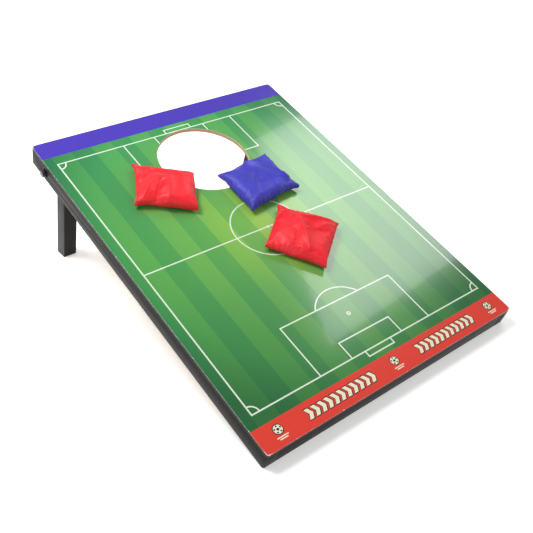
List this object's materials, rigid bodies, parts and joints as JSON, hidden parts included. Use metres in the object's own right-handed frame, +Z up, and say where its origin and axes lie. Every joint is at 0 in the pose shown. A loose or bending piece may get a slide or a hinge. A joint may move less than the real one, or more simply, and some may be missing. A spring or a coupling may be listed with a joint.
{
  "type": "cornhole board",
  "caption": "Tilted lawn game board with a round hole, a printed sports pitch, folding rear legs and square bean bags lying on it.",
  "frame": {"origin": "on the floor, under the middle of the whole board's bounding box", "axes": "+X to the right of a player who faces the board, +Y away from the player towards the raised rear end, +Z up"},
  "size_m": [0.4716, 0.6076, 0.2141],
  "materials": {
    "printed_vinyl": "gloss laminated print, green pitch with a red front band and a blue rear band",
    "mdf": "raw medium density fibreboard edge",
    "raw_wood": "planed softwood, unpainted",
    "black_paint": "wood with satin black paint",
    "blacked_steel": "black oxide",
    "zinc_steel": "bright zinc plating",
    "nylon": "moulded nylon",
    "red_nylon_cloth": "glossy woven nylon",
    "blue_nylon_cloth": "glossy woven nylon"
  },
  "bodies": {
    "board": {"printed_film": "printed_vinyl", "top_panel": "mdf", "left_side_rail": "black_paint", "right_side_rail": "black_paint", "front_rail": "black_paint", "rear_rail": "black_paint", "front_left_post": "raw_wood", "front_right_post": "raw_wood", "left_leg_stop": "raw_wood", "right_leg_stop": "raw_wood", "left_pivot_bolt": "blacked_steel", "left_outer_washer": "blacked_steel", "left_leg_spacer": "nylon", "left_inner_washer": "zinc_steel", "left_lock_nut": "zinc_steel", "right_pivot_bolt": "blacked_steel", "right_outer_washer": "blacked_steel", "right_leg_spacer": "nylon", "right_inner_washer": "zinc_steel", "right_lock_nut": "zinc_steel", "panel_screw_01": "zinc_steel", "panel_screw_02": "zinc_steel", "panel_screw_03": "zinc_steel", "panel_screw_04": "zinc_steel", "panel_screw_05": "zinc_steel", "panel_screw_06": "zinc_steel", "panel_screw_07": "zinc_steel", "panel_screw_08": "zinc_steel", "panel_screw_09": "zinc_steel", "panel_screw_10": "zinc_steel", "block_screw_01": "zinc_steel", "block_screw_02": "zinc_steel", "block_screw_03": "zinc_steel", "block_screw_04": "zinc_steel", "block_screw_05": "zinc_steel", "block_screw_06": "zinc_steel", "block_screw_07": "zinc_steel", "block_screw_08": "zinc_steel"},
    "left_leg": {"left_leg": "black_paint"},
    "right_leg": {"right_leg": "black_paint"},
    "bag_red_left": {"bean_bag_red_left": "red_nylon_cloth"},
    "bag_blue": {"bean_bag_blue": "blue_nylon_cloth"},
    "bag_red_right": {"bean_bag_red_right": "red_nylon_cloth"}
  },
  "joints": [
    {"name": "left_leg_fold", "type": "hinge", "parent": "board", "child": "left_leg", "pos_m": [-0.1934, 0.23175, 0.18293], "axis": [-1, 0, 0], "range_deg": [0, 90]},
    {"name": "right_leg_fold", "type": "hinge", "parent": "board", "child": "right_leg", "pos_m": [0.1934, 0.23175, 0.18293], "axis": [-1, 0, 0], "range_deg": [0, 90]},
    {"name": "red_left_lift", "type": "slide", "parent": "board", "child": "bag_red_left", "axis": [0, -0.309, 0.9511], "range_m": [0, 0.15]},
    {"name": "blue_lift", "type": "slide", "parent": "board", "child": "bag_blue", "axis": [0, -0.309, 0.9511], "range_m": [0, 0.15]},
    {"name": "red_right_lift", "type": "slide", "parent": "board", "child": "bag_red_right", "axis": [0, -0.309, 0.9511], "range_m": [0, 0.15]}
  ]
}
